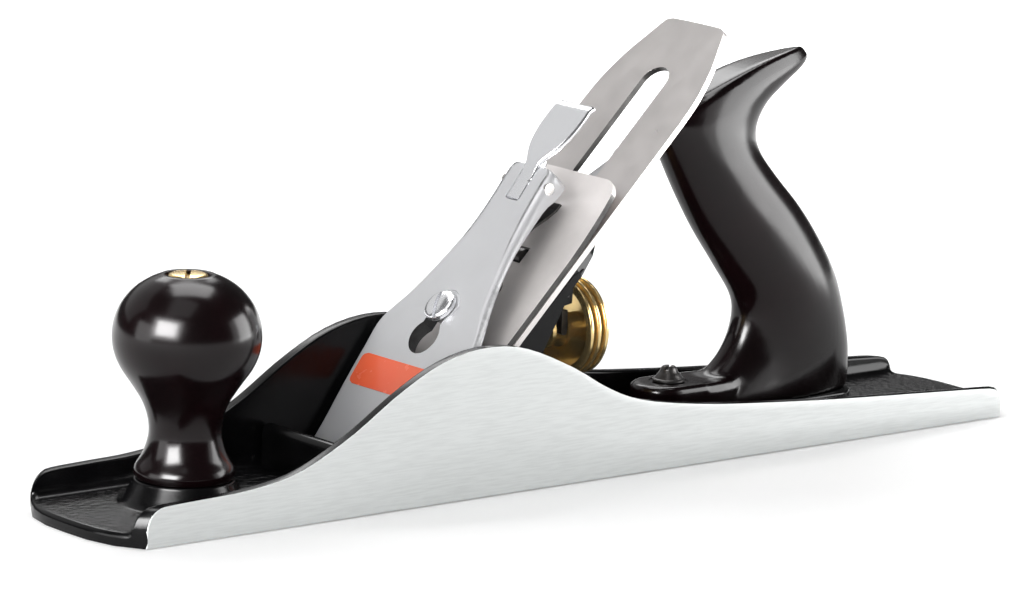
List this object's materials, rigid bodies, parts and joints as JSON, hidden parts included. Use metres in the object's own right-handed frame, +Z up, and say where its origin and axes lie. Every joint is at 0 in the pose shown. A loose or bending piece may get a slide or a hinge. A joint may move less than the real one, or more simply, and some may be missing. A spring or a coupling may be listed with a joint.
{
  "type": "bench plane",
  "caption": "Iron bench plane with a turned knob, a curved rear handle, and a cutter bedded at 45 degrees under a lever cap with depth and lateral adjusters.",
  "frame": {"origin": "middle of the sole, in the plane of its face", "axes": "+X towards the heel, -X towards the toe, +Z up from the sole, +Y across"},
  "size_m": [0.372, 0.063, 0.14],
  "materials": {
    "casting": "gloss black paint inside and on the ends, ground bare cheeks and sole",
    "handle": "polished very dark brown",
    "brass": "turned",
    "frog_paint": "dark paint with a ground bed face",
    "black_steel": "black",
    "cutter_steel": "finely ground across its length",
    "cap_steel": "satin",
    "nickel": "satin plated",
    "bright_steel": "bright plated",
    "enamel": "gloss enamel, plain",
    "spring_steel": "tempered",
    "steel": "plain turned steel"
  },
  "bodies": {
    "casting": {"body": "casting", "front_knob": "handle", "knob_stud": "steel", "knob_nut": "brass", "tote": "handle", "tote_rod": "steel", "tote_nut": "brass", "tote_toe_screw": "black_steel", "frog_screws": "steel", "frog_washers": "steel"},
    "frog": {"frog": "frog_paint", "frog_clip": "steel", "frog_clip_screw": "steel", "wheel_stud": "steel", "yoke_pin": "steel", "lateral_rivet": "steel", "lever_cap_screw": "bright_steel"},
    "frog_screw": {"frog_adjusting_screw": "steel"},
    "fork": {"yoke": "black_steel"},
    "lateral": {"lateral_lever": "steel", "lateral_roller": "steel"},
    "hub": {"depth_wheel_hub": "brass"},
    "wheel": {"depth_wheel": "brass"},
    "carriage": {"cap_iron_screw": "steel"},
    "cutter": {"plane_iron": "cutter_steel", "cap_iron": "cap_steel"},
    "lever_cap": {"lever_cap": "nickel", "enamel_band": "enamel", "lever_cap_spring": "spring_steel", "spring_rivet": "steel", "cam_pin": "steel"},
    "cam": {"cam_lever": "bright_steel"}
  },
  "joints": [
    {"name": "frog_slide", "type": "slide", "parent": "casting", "child": "frog", "axis": [1, 0, 0], "range_m": [-0.0007, 0.0008]},
    {"name": "frog_screw_turn", "type": "hinge", "parent": "frog", "child": "frog_screw", "pos_m": [-0.02, 0, 0.0092], "axis": [1, 0, 0], "range_deg": [-330, 370]},
    {"name": "iron_advance", "type": "slide", "parent": "frog", "child": "carriage", "axis": [0.7071, 0, 0.7071], "range_m": [-0.0008, 0.0025]},
    {"name": "iron_skew", "type": "hinge", "parent": "carriage", "child": "cutter", "pos_m": [-0.01743, 0, 0.05657], "axis": [-0.7071, 0, 0.7071], "range_deg": [-1.2, 1.2]},
    {"name": "lateral_swing", "type": "hinge", "parent": "frog", "child": "lateral", "pos_m": [0.00732, 0, 0.08132], "axis": [-0.7071, 0, 0.7071], "range_deg": [-3.6, 3.6]},
    {"name": "fork_pivot", "type": "hinge", "parent": "frog", "child": "fork", "pos_m": [0.00378, 0, 0.05657], "axis": [0, 1, 0], "range_deg": [-2.8, 8.3]},
    {"name": "wheel_travel", "type": "slide", "parent": "frog", "child": "hub", "axis": [1, 0, 0], "range_m": [-0.0018, 0.0006]},
    {"name": "wheel_spin", "type": "hinge", "parent": "hub", "child": "wheel", "pos_m": [0.012, 0, 0.044], "axis": [1, 0, 0], "range_deg": [-175, 510]},
    {"name": "lever_cap_slide", "type": "slide", "parent": "frog", "child": "lever_cap", "axis": [0.7071, 0, 0.7071], "range_m": [0, 0.011]},
    {"name": "cam_release", "type": "hinge", "parent": "lever_cap", "child": "cam", "pos_m": [-0.00626, 0, 0.09263], "axis": [0, 1, 0], "range_deg": [-100, 0]}
  ],
  "couplings": [
    {"joint": "frog_screw_turn", "follows": "frog_slide", "rad_per_m": 7854},
    {"joint": "fork_pivot", "follows": "iron_advance", "rad_per_m": 55.866},
    {"joint": "wheel_travel", "follows": "iron_advance", "ratio": -0.70218},
    {"joint": "wheel_spin", "follows": "iron_advance", "rad_per_m": 3474},
    {"joint": "lateral_swing", "follows": "iron_skew", "ratio": -2.8889}
  ]
}
